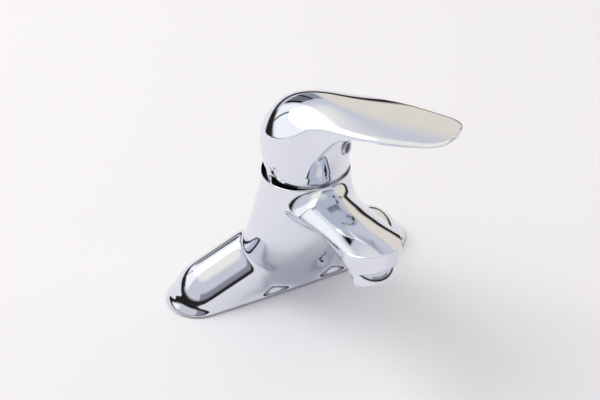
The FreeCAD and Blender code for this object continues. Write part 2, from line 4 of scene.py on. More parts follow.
import bpy
import numpy as np
from mathutils import Matrix, Vector


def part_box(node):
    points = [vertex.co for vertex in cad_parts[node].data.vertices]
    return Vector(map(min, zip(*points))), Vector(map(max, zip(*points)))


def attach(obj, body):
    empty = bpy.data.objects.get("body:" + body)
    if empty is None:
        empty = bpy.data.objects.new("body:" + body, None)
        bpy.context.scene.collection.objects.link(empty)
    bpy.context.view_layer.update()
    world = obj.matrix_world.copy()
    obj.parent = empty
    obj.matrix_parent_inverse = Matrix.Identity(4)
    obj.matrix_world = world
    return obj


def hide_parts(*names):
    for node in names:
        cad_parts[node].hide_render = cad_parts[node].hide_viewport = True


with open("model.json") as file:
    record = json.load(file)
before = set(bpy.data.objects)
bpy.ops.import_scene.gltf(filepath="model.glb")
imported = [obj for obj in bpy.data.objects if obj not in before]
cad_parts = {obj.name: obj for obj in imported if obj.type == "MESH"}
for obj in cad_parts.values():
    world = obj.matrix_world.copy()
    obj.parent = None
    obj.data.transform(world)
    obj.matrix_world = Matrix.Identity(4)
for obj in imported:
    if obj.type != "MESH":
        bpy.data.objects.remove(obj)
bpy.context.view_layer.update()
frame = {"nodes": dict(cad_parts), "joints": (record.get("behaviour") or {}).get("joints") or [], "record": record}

MM = 0.001


# Base gasket.
# A thin sheet of black nitrile rubber, die cut to the outline of the base. It lies between
# the casting and the deck, and shows only as a dark line.
def linear(hex_colour):
    values = [int(hex_colour[i:i + 2], 16) / 255 for i in (1, 3, 5)]
    return tuple(v / 12.92 if v <= 0.04045 else ((v + 0.055) / 1.055) ** 2.4
                 for v in values) + (1.0,)


def add_node(tree, kind, settings, inputs):
    node = tree.nodes.new(kind)
    for name, value in settings.items():
        setattr(node, name, value)
    for name, value in inputs.items():
        if isinstance(value, bpy.types.NodeSocket):
            tree.links.new(value, node.inputs[name])
        else:
            node.inputs[name].default_value = value
    return node


def new_material(name):
    material = bpy.data.materials.new(name)
    material.use_nodes = True
    material.node_tree.nodes.clear()
    return material, material.node_tree


def grainy_material(name, colours, grain_mm, rough, bump_mm, metallic=0.0, ior=1.5):
    # A moulded, turned or cast surface: two close colours and a fine grain of a real size.
    dark, light = colours
    rough_low, rough_high = rough
    material, tree = new_material(name)
    place = add_node(tree, "ShaderNodeTexCoord", {}, {})
    grain = add_node(tree, "ShaderNodeTexNoise", {},
                     {"Vector": place.outputs["Object"], "Scale": 1 / (grain_mm * MM),
                      "Detail": 4.0, "Roughness": 0.55})
    colour = add_node(tree, "ShaderNodeMix", {"data_type": "RGBA"},
                      {"Factor": grain.outputs["Fac"]})
    colour.inputs["A"].default_value = linear(dark)
    colour.inputs["B"].default_value = linear(light)
    roughness = add_node(tree, "ShaderNodeMapRange", {},
                         {"Value": grain.outputs["Fac"], "To Min": rough_low,
                          "To Max": rough_high})
    bump = add_node(tree, "ShaderNodeBump", {},
                    {"Height": grain.outputs["Fac"], "Distance": bump_mm * MM, "Strength": 0.5})
    shader = add_node(tree, "ShaderNodeBsdfPrincipled", {},
                      {"Roughness": roughness.outputs["Result"],
                       "Normal": bump.outputs["Normal"], "Metallic": metallic})
    if metallic == 0:
        shader.inputs["IOR"].default_value = ior
    tree.links.new(colour.outputs["Result"], shader.inputs["Base Color"])
    add_node(tree, "ShaderNodeOutputMaterial", {}, {"Surface": shader.outputs["BSDF"]})
    return material


def coat(node, material):
    piece = frame["nodes"][node]
    piece.data.materials.clear()
    piece.data.materials.append(material)


# Moulded rubber is near black and dull, with a slightly uneven skin.
nitrile_rubber = grainy_material("nitrile_rubber", ("#121214", "#1F1F22"), grain_mm=0.5,
                                 rough=(0.6, 0.85), bump_mm=0.05, ior=1.52)
for node in ("base_gasket", "port_seals", "clamp_seal", "aerator_washer"):
    coat(node, nitrile_rubber)


# Body casting.
# One zinc casting, polished and chrome plated: the long base with its flared foot, a hump over
# each inlet, the leaning neck and the spout. The masses are joined and blended as a caster's
# fillets blend them, and then the spout's top is cut with a crisp edge.
joints = {joint["name"]: joint for joint in frame["joints"]}
lift_axis = joints["handle_lift"]["axis"]
VALVE_Y = round(joints["handle_turn"]["pos_m"][1] / MM, 2)
# The lever's bearing at rest, from the front towards the right
LEVER = math.radians(round(math.degrees(math.atan2(-lift_axis[1], -lift_axis[0])), 2))
GASKET = round(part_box("base_gasket")[1].z / MM, 2)
END_CENTRE = 59.8
END_RADIUS = 19.2
BOW = 1.3


def deselect():
    if bpy.context.object and bpy.context.object.mode != "OBJECT":
        bpy.ops.object.mode_set(mode="OBJECT")
    bpy.ops.object.select_all(action="DESELECT")


def shaped_ball(name, segments, rings, shape):
    # A closed form: a ball whose every vertex moves to where shape puts it. The first value
    # runs from 0 at one pole to 1 at the other, and the second is the angle round the ball.
    deselect()
    bpy.ops.mesh.primitive_uv_sphere_add(segments=segments, ring_count=rings, radius=1.0)
    piece = bpy.context.object
    piece.name = name
    for vertex in piece.data.vertices:
        x, y, z = vertex.co
        along = 1 - math.acos(max(-1.0, min(1.0, z))) / math.pi
        vertex.co = Vector(shape(along, math.atan2(y, x))) * MM
    return piece


def through(points, where):
    # A smooth line through rows of (place, value, value ...), read at one place.
    rows = np.array(points, float)
    if rows[0, 0] > rows[-1, 0]:
        rows = rows[::-1]
    places = rows[:, 0]
    where = min(max(where, places[0]), places[-1])
    slopes = np.gradient(rows[:, 1:], places, axis=0)
    i = min(int(np.searchsorted(places, where, side="right")) - 1, len(places) - 2)
    step = places[i + 1] - places[i]
    t = (where - places[i]) / step
    return ((2 * t ** 3 - 3 * t ** 2 + 1) * rows[i, 1:]
            + (t ** 3 - 2 * t ** 2 + t) * step * slopes[i]
            + (3 * t ** 2 - 2 * t ** 3) * rows[i + 1, 1:]
            + (t ** 3 - t ** 2) * step * slopes[i + 1])


def part_way(rows, share):
    # The place at a share of the way from the first row to the last.
    first, last = rows[0][0], rows[-1][0]
    return first + (last - first) * min(max(share, 0.0), 1.0)


# The share of the ball's width that the straight sides take
STRAIGHT_SHARE = 0.2


def stadium(angle, near, far, radius, bow):
    # Two round ends joined by long sides, met along the way by the angle of a ball.
    cosine = math.cos(angle)
    along = max(-1.0, min(1.0, cosine / STRAIGHT_SHARE))
    bend = math.copysign(max(0.0, abs(cosine) - STRAIGHT_SHARE) / (1 - STRAIGHT_SHARE), cosine)
    x = (near + far) / 2 + (far - near) / 2 * along + radius * bend
    y = radius * math.sqrt(1 - bend ** 2) + bow * (1 - along ** 2)
    return x, math.copysign(y, math.sin(angle))


# Height above the deck and how far the flared foot stands in from the outline
FOOT_ROWS = [(-8.0, 0.0), (1.2, 0.0), (2.2, 0.1), (3.0, 1.0), (3.8, 2.2), (5.0, 3.2), (7.0, 3.9)]
# The shares of the ball at which the foot's underside ends and its top begins
UNDERSIDE = 0.1
TOP = 0.85
# No ring of a ball shrinks to less than this before its pole
LEAST = 0.01


def foot_shape(along, angle):
    z = part_way(FOOT_ROWS, (along - UNDERSIDE) / (TOP - UNDERSIDE))
    inset = float(through(FOOT_ROWS, z)[0])
    if along > TOP:
        inset += (along - TOP) / (1 - TOP) * (END_RADIUS - inset)
    if along < UNDERSIDE:
        inset = END_RADIUS * (1 - along / UNDERSIDE)
    x, y = stadium(angle, -END_CENTRE, END_CENTRE, max(END_RADIUS - inset, LEAST), BOW)
    if along in (0.0, 1.0):
        x, y = 0.0, 0.0
    return x, y, z


# The humps are arches across the base, round at both ends and sloping down to the outer end.
HUMP_RADIUS = 18.8
HUMP_ARCH = 27.0
HUMP_NEAR = 30.0
HUMP_TOP = 35.0
HUMP_SLOPE = 0.408
HUMP_WALL = 24.0
# The shares of the ball that the upright wall and the closed underside take
WALL_SHARE = 0.25
UNDER_SHARE = 0.04


def hump_shape(side):
    def shape(along, angle):
        turn = min(max((along - WALL_SHARE) / (1 - WALL_SHARE), 0.0), 1.0) * math.pi / 2
        wall = min(along / WALL_SHARE, 1.0)
        radius = max(HUMP_RADIUS * math.cos(turn) * min(along / UNDER_SHARE, 1.0), LEAST)
        x, y = stadium(angle, HUMP_NEAR, END_CENTRE, radius, 0.0)
        rise = HUMP_TOP - HUMP_ARCH - (x - HUMP_NEAR) * HUMP_SLOPE
        z = rise - HUMP_WALL * (1 - wall) + HUMP_ARCH * math.sin(turn)
        return side * x, y, z
    return shape


# Height, centre along Y, half width along X, half width along Y
NECK_ROWS = [(-6.0, 0.5, 48.0, 19.3), (1.2, 0.0, 43.0, 19.2), (8.0, -1.5, 38.0, 18.6),
             (18.0, -4.8, 35.2, 19.4), (32.0, -9.8, 33.2, 22.0), (50.0, -15.5, 31.2, 25.2),
             (70.0, -19.2, 27.6, 25.2), (80.0, -20.6, 25.4, 24.7), (88.0, -20.9, 24.7, 24.6),
             (104.0, -20.9, 24.6, 24.6)]
# Low down, the neck is wider at the back than at the front: by how much, at what height, and
# how far above and below it
NECK_SPREAD = 0.24
SPREAD_Z = 18.0
SPREAD_SPAN = 34.0
# The shares of the ball that close the neck at its lower and its upper end
NECK_FOOT = 0.06
NECK_HEAD = 0.08


def neck_shape(along, angle):
    z = part_way(NECK_ROWS, (along - NECK_FOOT) / (1 - NECK_FOOT - NECK_HEAD))
    centre, half_x, half_y = through(NECK_ROWS, z)
    fill = min(1.0, along / NECK_FOOT, (1 - along) / NECK_HEAD)
    spread = 1 + NECK_SPREAD * math.sin(angle) * max(0.0, 1 - abs(z - SPREAD_Z) / SPREAD_SPAN)
    return half_x * fill * spread * math.cos(angle), centre + half_y * fill * math.sin(angle), z


# Along Y: half width, height of the crisp edge, height of the ridge, height of the keel, and
# how boxy the underside is
SPOUT_ROWS = [(-10.0, 21.8, 62.0, 82.0, 36.0, 1.6), (-18.0, 21.5, 68.0, 84.0, 42.0, 1.5),
              (-34.0, 20.9, 76.4, 90.4, 54.5, 1.35), (-50.0, 18.7, 81.2, 91.0, 64.5, 1.3),
              (-66.0, 17.1, 85.8, 92.8, 72.0, 1.5), (-80.0, 16.4, 89.0, 94.8, 73.5, 2.2),
              (-92.0, 16.2, 91.3, 95.9, 75.5, 3.0), (-116.0, 16.0, 92.6, 95.4, 82.0, 3.2)]
SPOUT_START = -10.0
# The round nose
NOSE_Y = -93.2
NOSE_RADIUS = 16.2
# The sides of the spout stand up to here before the crown is cut
UNCUT_TOP = 106.0
# Half widths stay above zero, and the first rings close at the pole.
LEAST_HALF = 0.3
POLE_HALF = 0.05
POLE_SHARE = 0.02


def spout_half(y):
    half = float(through(SPOUT_ROWS, y)[0])
    if y < NOSE_Y:
        half *= math.sqrt(max(0.0, 1 - ((NOSE_Y - y) / NOSE_RADIUS) ** 2))
    return half


def tapered(half, along):
    return POLE_HALF if along < POLE_SHARE else max(half, LEAST_HALF)


def spout_shape(along, angle):
    reach = NOSE_RADIUS - NOSE_Y + SPOUT_START
    y = SPOUT_START - reach * math.sin(along * math.pi / 2)
    _, edge, _, keel, boxy = through(SPOUT_ROWS, y)
    half = tapered(spout_half(y), along)
    if angle < 0:
        turn = -angle
        x = math.copysign(abs(math.cos(turn)) ** (2 / boxy), math.cos(turn)) * half
        z = edge - (edge - keel) * abs(math.sin(turn)) ** (2 / boxy)
        return x, y, z
    rise = min(angle, math.pi - angle) / (math.pi / 4)
    x = half * (1 if angle < math.pi / 2 else -1)
    if rise > 1:
        x = half * math.cos((angle - math.pi / 4) * 2)
    return x, y, edge + (UNCUT_TOP - edge) * min(rise, 1.0)


def pick(piece):
    deselect()
    piece.select_set(True)
    bpy.context.view_layer.objects.active = piece


def edit_all(piece):
    pick(piece)
    bpy.ops.object.mode_set(mode="EDIT")
    bpy.ops.mesh.select_all(action="SELECT")


def apply_modifier(piece, kind, **settings):
    pick(piece)
    modifier = piece.modifiers.new(kind.lower(), kind)
    for name, value in settings.items():
        setattr(modifier, name, value)
    bpy.ops.object.modifier_apply(modifier=modifier.name)


def blended(piece, grid, rounds):
    # Makes one skin of several masses and smooths it, as fillets would.
    apply_modifier(piece, "REMESH", mode="VOXEL", voxel_size=grid * MM, adaptivity=0.0)
    apply_modifier(piece, "SMOOTH", factor=0.5, iterations=rounds)


def joined(name, pieces):
    deselect()
    for piece in pieces:
        piece.select_set(True)
    bpy.context.view_layer.objects.active = pieces[0]
    bpy.ops.object.join()
    pieces[0].name = name
    return pieces[0]


def round_bar(radius, start, end, vertices=64):
    deselect()
    run = Vector(end) - Vector(start)
    middle = (Vector(start) + Vector(end)) / 2
    turn = Vector((0, 0, 1)).rotation_difference(run).to_euler()
    bpy.ops.mesh.primitive_cylinder_add(vertices=vertices, radius=radius * MM,
                                        depth=run.length * MM, location=middle * MM,
                                        rotation=turn)
    bpy.ops.object.transform_apply(location=True, rotation=True, scale=True)
    return bpy.context.object


def outward(piece):
    edit_all(piece)
    bpy.ops.mesh.normals_make_consistent(inside=False)
    bpy.ops.object.mode_set(mode="OBJECT")
    return piece


def carved(piece, cutter):
    apply_modifier(piece, "BOOLEAN", operation="DIFFERENCE", solver="EXACT", object=cutter)
    bpy.data.objects.remove(cutter)


def cut_below(piece, height, tilt_deg):
    # Cuts the piece at one height on the valve axis, throws away what is below and closes the
    # cut. The tilt lifts the cut at the end away from the lever.
    tilt = math.radians(tilt_deg)
    way = Vector((math.sin(LEVER) * math.sin(tilt), -math.cos(LEVER) * math.sin(tilt),
                  math.cos(tilt)))
    edit_all(piece)
    bpy.ops.mesh.bisect(plane_co=Vector((0, VALVE_Y, height)) * MM, plane_no=way,
                        use_fill=True, clear_inner=True)
    bpy.ops.object.mode_set(mode="OBJECT")


def smooth_shaded(piece, crease_deg):
    # Edges that turn by more than this stay crisp.
    pick(piece)
    bpy.ops.object.shade_smooth_by_angle(angle=math.radians(crease_deg))


def bulk_above(name, surface, columns, rows, thickness):
    # All that lies above a curved surface, to be cut away with a crisp edge.
    deselect()
    bpy.ops.mesh.primitive_grid_add(x_subdivisions=columns, y_subdivisions=rows, size=2.0)
    piece = bpy.context.object
    piece.name = name
    for vertex in piece.data.vertices:
        vertex.co = Vector(surface(vertex.co.x, (vertex.co.y + 1) / 2)) * MM
    edit_all(piece)
    bpy.ops.mesh.extrude_region_move(TRANSFORM_OT_translate={"value": (0, 0, thickness * MM)})
    return outward(piece)


def turned(name, profile, segments=64):
    # A round piece spun from a profile of (distance along the axis, radius), about the Z axis.
    deselect()
    bpy.ops.mesh.primitive_plane_add(size=1.0)
    piece = bpy.context.object
    piece.name = name
    piece.data.clear_geometry()
    points = [(radius * MM, 0, height * MM) for height, radius in profile]
    piece.data.from_pydata(points, [(i, i + 1) for i in range(len(points) - 1)], [])
    edit_all(piece)
    bpy.ops.mesh.spin(steps=segments, angle=math.tau, center=(0, 0, 0), axis=(0, 0, 1))
    bpy.ops.mesh.select_all(action="SELECT")
    bpy.ops.mesh.remove_doubles(threshold=0.0005 * MM)
    bpy.ops.mesh.normals_make_consistent(inside=False)
    bpy.ops.object.mode_set(mode="OBJECT")
    return piece


def stood(piece, origin, way):
    # Moves a piece spun about Z so that its axis points along way from origin.
    turn = Vector((0, 0, 1)).rotation_difference(Vector(way)).to_matrix().to_4x4()
    piece.data.transform(Matrix.Translation(Vector(origin) * MM) @ turn)
    return piece


# The mouth is a tilted shallow dish round the cartridge, higher towards the spout.
MOUTH_Z = 89.8
MOUTH_TILT = math.radians(8.0)
MOUTH_RADIUS = 24.4
MOUTH_DEPTH = 3.0
MOUTH_FLOOR_RADIUS = 22.9
# The dish opens by this much at its edge, and the spout's crown begins as much inside it.
MOUTH_FLARE = 0.15
# The hollow curve from the spout's crown to the mouth: where it begins, from the valve axis,
# and how far from the mouth it ends
SWEEP_RADIUS = 33.0
SWEEP_END = 0.5
CROWN_HALF = 23.8
CROWN_END = -118.0
# Rows of the crown crowd together towards the mouth
CROWDING = 1.6


def mouth_edge(y):
    return MOUTH_Z - (y - VALVE_Y) * math.tan(MOUTH_TILT)


def spout_crown(across, along):
    # The top of the spout, which climbs to the edge of the mouth in a hollow curve.
    x = across * CROWN_HALF
    rear = VALVE_Y - math.sqrt(max((MOUTH_RADIUS - MOUTH_FLARE) ** 2 - x ** 2, 0.0))
    y = rear + (CROWN_END - rear) * along ** CROWDING
    width, edge, ridge = through(SPOUT_ROWS, y)[:3]
    crown = ridge - (ridge - edge) * (x / width) ** 2
    from_start = SWEEP_RADIUS - math.hypot(x, y - VALVE_Y)
    near = min(max(from_start / (SWEEP_RADIUS - SWEEP_END - MOUTH_RADIUS), 0.0), 1.0)
    return x, y, crown + (mouth_edge(y) - crown) * (1 - math.sqrt(1 - near ** 2))


def mouth_cut():
    open_radius = MOUTH_RADIUS + MOUTH_FLARE
    cutter = turned("mouth_cut", [(-MOUTH_DEPTH, 0.0), (-MOUTH_DEPTH, MOUTH_FLOOR_RADIUS),
                                  (0.0, MOUTH_RADIUS), (0.3, open_radius), (20.0, open_radius),
                                  (20.0, 0.0)], segments=128)
    return stood(cutter, (0, VALVE_Y, MOUTH_Z), (0, math.sin(MOUTH_TILT), math.cos(MOUTH_TILT)))


def chrome_material(name, tint, low, high):
    # Bright chrome over polished metal: a mirror with a faint cold tint. The polisher's wheel
    # leaves a very slight waviness, and wiping leaves a barely duller film. Crisp edges are
    # rounded a little by the plating.
    material, tree = new_material(name)
    place = add_node(tree, "ShaderNodeTexCoord", {}, {})
    film = add_node(tree, "ShaderNodeTexNoise", {},
                    {"Vector": place.outputs["Object"], "Scale": 1 / (14 * MM), "Detail": 5.0,
                     "Roughness": 0.6})
    rough = add_node(tree, "ShaderNodeMapRange", {},
                     {"Value": film.outputs["Fac"], "From Min": 0.3, "From Max": 0.75,
                      "To Min": low, "To Max": high})
    wave = add_node(tree, "ShaderNodeTexNoise", {},
                    {"Vector": place.outputs["Object"], "Scale": 1 / (22 * MM), "Detail": 1.0})
    bump = add_node(tree, "ShaderNodeBump", {},
                    {"Height": wave.outputs["Fac"], "Distance": 0.12 * MM, "Strength": 0.35})
    edges = add_node(tree, "ShaderNodeBevel", {"samples": 6}, {"Radius": 1.1 * MM})
    tree.links.new(edges.outputs["Normal"], bump.inputs["Normal"])
    shader = add_node(tree, "ShaderNodeBsdfPrincipled", {},
                      {"Base Color": linear(tint), "Metallic": 1.0,
                       "Roughness": rough.outputs["Result"], "Normal": bump.outputs["Normal"]})
    add_node(tree, "ShaderNodeOutputMaterial", {}, {"Surface": shader.outputs["BSDF"]})
    return material


bright_chrome = chrome_material("bright_chrome", "#E3E7EF", 0.02, 0.06)
# Cast zinc that the plating bath hardly reaches is dull. Its near black grey, far darker than bare zinc, is
# painted shade for the mouth, the handle's hollow, the weep slot and the upstand.
raw_zinc_painted_shade = grainy_material("raw_zinc_painted_shade", ("#232427", "#34363A"), grain_mm=0.8,
                           rough=(0.45, 0.65), bump_mm=0.04, metallic=1.0)


def finished(piece, inside):
    # Plated outside, and raw metal where the cutter has shaped the inside, coloured near black as painted shade.
    piece.data.materials.clear()
    piece.data.materials.append(bright_chrome)
    piece.data.materials.append(raw_zinc_painted_shade)
    for face in piece.data.polygons:
        face.material_index = 1 if inside else 0
    return piece


# The boss that the aerator screws into: the middle of its end face, the way that it points, and
# how far it runs into the spout and past the face, where it is faced off
AERATOR_SEAT = Vector((0.0, -96.6, 77.7))
AERATOR_TILT = math.radians(29.2)
AERATOR_WAY = Vector((0.0, -math.sin(AERATOR_TILT), -math.cos(AERATOR_TILT)))
BOSS_RADIUS = 13.3
BOSS_INSIDE = 9.0
BOSS_PAST = 5.0
FACING_RADIUS = 30.0
FACING_DEPTH = 20.0
# The upstand round which the handle turns
UPSTAND_RADIUS = 19.8
UPSTAND_LOW = 82.0
UPSTAND_TOP = 94.0

masses = [shaped_ball("foot", 128, 48, foot_shape),
          shaped_ball("hump_left", 128, 64, hump_shape(-1)),
          shaped_ball("hump_right", 128, 64, hump_shape(1)),
          shaped_ball("neck", 128, 90, neck_shape),
          shaped_ball("spout", 96, 90, spout_shape),
          round_bar(BOSS_RADIUS, AERATOR_SEAT - AERATOR_WAY * BOSS_INSIDE,
                    AERATOR_SEAT + AERATOR_WAY * BOSS_PAST)]
body = joined("body_casting_skin", [outward(mass) for mass in masses])
blended(body, grid=0.8, rounds=45)
cut_below(body, GASKET, 0.0)
finished(body, False)
# The dish of the mouth is coloured near black: painted shade under the handle.
carved(body, finished(outward(mouth_cut()), True))
cutters = [bulk_above("crown_cut", spout_crown, columns=60, rows=140, thickness=40.0),
           round_bar(FACING_RADIUS, AERATOR_SEAT, AERATOR_SEAT + AERATOR_WAY * FACING_DEPTH)]
for mount in frame["record"]["mounts"]:
    if mount["kind"] == "threaded_hole":
        x, y, z = (round(value / MM, 2) for value in mount["pos_m"])
        top = z + mount["dims"]["length_mm"] / 2
        cutters.append(round_bar(mount["dims"]["r_mm"], (x, y, -1), (x, y, top)))
carved(body, joined("body_cut", [finished(outward(cutter), False) for cutter in cutters]))
upstand = round_bar(UPSTAND_RADIUS, (0, VALVE_Y, UPSTAND_LOW), (0, VALVE_Y, UPSTAND_TOP),
                    vertices=96)
# The upstand is coloured near black: painted shade in the gap under the handle's rim.
body = joined("body_casting_skin", [body, finished(upstand, True)])
smooth_shaded(body, crease_deg=32)
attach(body, "fixed")
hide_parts("body_casting")


# Cartridge.
# A ceramic disc cartridge of acetal and sintered alumina. It is held in the neck by a brass nut
# with a red stop ring on it, and a square brass stem tilts on a steel pin in its rotor.
def moulded_acetal(name, dark, light):
    # Moulded acetal is satin and a little waxy.
    return grainy_material(name, (dark, light), grain_mm=1.2, rough=(0.35, 0.5), bump_mm=0.03,
                           ior=1.48)


acetal_white = moulded_acetal("acetal_white", "#DEDDD6", "#ECEBE6")
acetal_blue = moulded_acetal("acetal_blue", "#27406F", "#31508A")
acetal_red = moulded_acetal("acetal_red", "#9E1F1C", "#B32B26")
# Sintered alumina is lapped flat: ivory white with an even, soft gloss.
alumina = grainy_material("sintered_alumina", ("#E9E6DD", "#F3F1EA"), grain_mm=0.6,
                          rough=(0.25, 0.4), bump_mm=0.01, ior=1.76)
# Turned brass is yellow and half bright from the cutting tool.
turned_brass = grainy_material("turned_brass", ("#B8954F", "#CBAA66"), grain_mm=0.8,
                               rough=(0.25, 0.4), bump_mm=0.02, metallic=1.0)
# Ground steel is a plain grey with a fine, half bright grain.
ground_steel = grainy_material("ground_steel", ("#8E9196", "#A3A6AB"), grain_mm=0.4,
                               rough=(0.25, 0.4), bump_mm=0.01, metallic=1.0)
for node, material in (("cartridge_base", acetal_white), ("cartridge_housing", acetal_white),
                       ("fixed_disc", alumina), ("moving_disc", alumina),
                       ("disc_carrier", acetal_blue), ("rotor", acetal_blue),
                       ("temperature_stop", acetal_red), ("retaining_nut", turned_brass),
                       ("stem", turned_brass), ("stem_pin", ground_steel),
                       ("handle_screw", ground_steel)):
    coat(node, material)


# Handle.
# A hollow zinc casting, chrome plated: a round skirt over the cartridge and a leaf-shaped top
# that runs out into the lever. The leaf meets the sides in one crisp edge all the way round.
RIM_Z = 93.5
RIM_TILT_DEG = 5.7


def on_lever(reach, across, height):
    # Along the lever, across it and up, turned to where the lever rests.
    return (across * math.cos(LEVER) + reach * math.sin(LEVER),
            VALVE_Y + across * math.sin(LEVER) - reach * math.cos(LEVER), height)


# Height and radius of the skirt
BARREL_ROWS = [(80.0, 17.6), (87.0, 20.7), (91.3, 22.2), (96.0, 23.4), (102.0, 24.5),
               (109.0, 25.0), (116.0, 24.6), (122.0, 23.7), (135.0, 22.9), (160.0, 22.9)]
# The share of the ball that closes the skirt at either end
BARREL_END = 0.04


def barrel_shape(along, angle):
    z = part_way(BARREL_ROWS, (along - BARREL_END) / (1 - 2 * BARREL_END))
    radius = float(through(BARREL_ROWS, z)[0])
    radius *= min(1.0, along / BARREL_END, (1 - along) / BARREL_END)
    return radius * math.cos(angle), VALVE_Y + radius * math.sin(angle), z


# Along the lever: half width, and height of the underside at its middle
LEVER_ROWS = [(-6.0, 21.0, 100.0), (4.0, 21.0, 101.0), (12.0, 19.8, 104.0), (18.0, 19.0, 112.0),
              (24.0, 18.9, 121.5), (30.0, 19.2, 127.6), (38.0, 19.5, 131.6), (50.0, 19.2, 134.0),
              (62.0, 17.8, 135.9), (75.0, 15.6, 138.2), (90.0, 13.8, 141.2)]
LEVER_START = -6.0
LEVER_REACH = 87.0
TIP_START = 71.0
# The underside rises by this much from its middle to its edges
LEVER_ARCH = 1.8
# The sides of the lever stand up to here before the leaf is cut
UNCUT_LEAF = 165.0
# The ball is widened by this much and cut short at the sides, which then stand upright.
WIDENED = 1.42
# The powers of the round tip's outline, which is fuller than an ellipse
TIP_POWER_ALONG = 3.2
TIP_POWER_ACROSS = 2.6


def lever_half(reach):
    half = float(through(LEVER_ROWS, reach)[0])
    if reach > TIP_START:
        to_tip = (reach - TIP_START) / (LEVER_REACH - TIP_START)
        half *= max(0.0, 1 - to_tip ** TIP_POWER_ALONG) ** (1 / TIP_POWER_ACROSS)
    return half


def lever_shape(along, angle):
    reach = LEVER_START + (LEVER_REACH - LEVER_START) * math.sin(along * math.pi / 2)
    low = float(through(LEVER_ROWS, reach)[1])
    half = tapered(lever_half(reach), along)
    across = half * max(-1.0, min(1.0, math.cos(angle) * WIDENED))
    height = low + LEVER_ARCH * (across / half) ** 2 if angle < 0 else UNCUT_LEAF
    return on_lever(reach, across, height)


# The ridge of the leaf: poles of distance along the lever, height, and how fast the top falls
# away to the sides
RIDGE_POLES = [(-34.0, 84.0, 0.050), (-26.5, 111.0, 0.044), (-22.5, 122.0, 0.037),
               (-15.0, 131.8, 0.0305), (-5.0, 137.0, 0.0265), (6.0, 139.6, 0.0240),
               (16.0, 140.0, 0.0195), (28.0, 139.9, 0.0115), (45.0, 140.5, 0.0066),
               (65.0, 141.8, 0.0054), (92.0, 145.0, 0.0060)]
LEAF_HALF = 30.0
# Out on the lever, the top rolls over into the edge: where that starts and is full, how far in
# from the edge, how far across, and how fast it falls
ROLL_START = 10.0
ROLL_LENGTH = 14.0
ROLL_INSIDE = 2.6
ROLL_ACROSS = 3.6
ROLL_FALL = 0.12


def along_poles(poles, place):
    # A cubic spline that keeps inside its poles, so that the top has no bumps.
    rows = np.array([poles[0]] * 2 + list(poles) + [poles[-1]] * 2, float)
    at = min(max(place, 0.0), 0.999999) * (len(rows) - 3)
    i = int(at)
    t = at - i
    weights = np.array([(1 - t) ** 3, 3 * t ** 3 - 6 * t ** 2 + 4,
                        -3 * t ** 3 + 3 * t ** 2 + 3 * t + 1, t ** 3]) / 6
    return weights @ rows[i:i + 4]


def handle_crown(across, along):
    reach, ridge, fall = along_poles(RIDGE_POLES, along)
    side = across * LEAF_HALF
    rolled = min(max((reach - ROLL_START) / ROLL_LENGTH, 0.0), 1.0)
    over = min(max(abs(side) - lever_half(reach) + ROLL_INSIDE, 0.0), ROLL_ACROSS)
    return on_lever(reach, side, ridge - fall * side ** 2 - ROLL_FALL * rolled * over ** 2)


masses = [shaped_ball("barrel", 128, 90, barrel_shape),
          shaped_ball("lever", 96, 110, lever_shape)]
handle = joined("handle_skin", [outward(mass) for mass in masses])
blended(handle, grid=0.7, rounds=14)
cut_below(handle, RIM_Z, RIM_TILT_DEG)

# The skirt is hollow, and a round hub hangs from its roof to grip the stem.
CAVITY_RADIUS = 20.4
CAVITY_LOW = 84.0
CAVITY_ROOF = 120.0
ROOF_INSET = 12.4
HUB_LENGTH = 16.0
cavity = round_bar(CAVITY_RADIUS, (0, VALVE_Y, CAVITY_LOW), (0, VALVE_Y, CAVITY_ROOF),
                   vertices=96)
edit_all(cavity)
bpy.ops.mesh.select_all(action="DESELECT")
bpy.ops.object.mode_set(mode="OBJECT")
for face in cavity.data.polygons:
    face.select = face.normal.z > 0.9
bpy.ops.object.mode_set(mode="EDIT")
bpy.ops.mesh.inset(thickness=ROOF_INSET * MM)
bpy.ops.transform.translate(value=(0, 0, -HUB_LENGTH * MM))
bpy.ops.object.mode_set(mode="OBJECT")

# A small upright weep slot goes through the skirt at the left.
SLOT_BEARING = math.radians(201.0)
SLOT_Z = 100.5
SLOT_RADIUS = 1.2
SLOT_STRETCH = 1.55
SLOT_INNER = 15.0
SLOT_OUTER = 30.0
slot_way = Vector((math.cos(SLOT_BEARING), math.sin(SLOT_BEARING), 0))
slot_middle = Vector((0, VALVE_Y, SLOT_Z))
slot = round_bar(SLOT_RADIUS, slot_middle + slot_way * SLOT_INNER,
                 slot_middle + slot_way * SLOT_OUTER, vertices=32)
for vertex in slot.data.vertices:
    vertex.co.z += math.copysign(SLOT_STRETCH * MM, vertex.co.z - SLOT_Z * MM)

# The index plug sits in a round recess below the lever.
PLUG_REACH = 24.3
PLUG_Z = 112.5
RECESS_RADIUS = 4.3
RECESS_END = 32.0
plug_place = on_lever(PLUG_REACH, 0, PLUG_Z)
recess = round_bar(RECESS_RADIUS, plug_place, on_lever(RECESS_END, 0, PLUG_Z), vertices=48)
leaf_cut = bulk_above("leaf_cut", handle_crown, columns=120, rows=160, thickness=60.0)
# The inside of the hollow skirt and its hub are coloured near black: painted shade.
cutters = [finished(leaf_cut, False), finished(outward(cavity), True),
           finished(outward(recess), False)]
finished(handle, False)
carved(handle, joined("handle_cut", cutters))
# The walls of the weep slot are coloured near black: painted shade, so that the slot reads as a dark hole.
carved(handle, finished(outward(slot), True))
smooth_shaded(handle, crease_deg=32)
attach(handle, "lever")
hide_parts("handle")


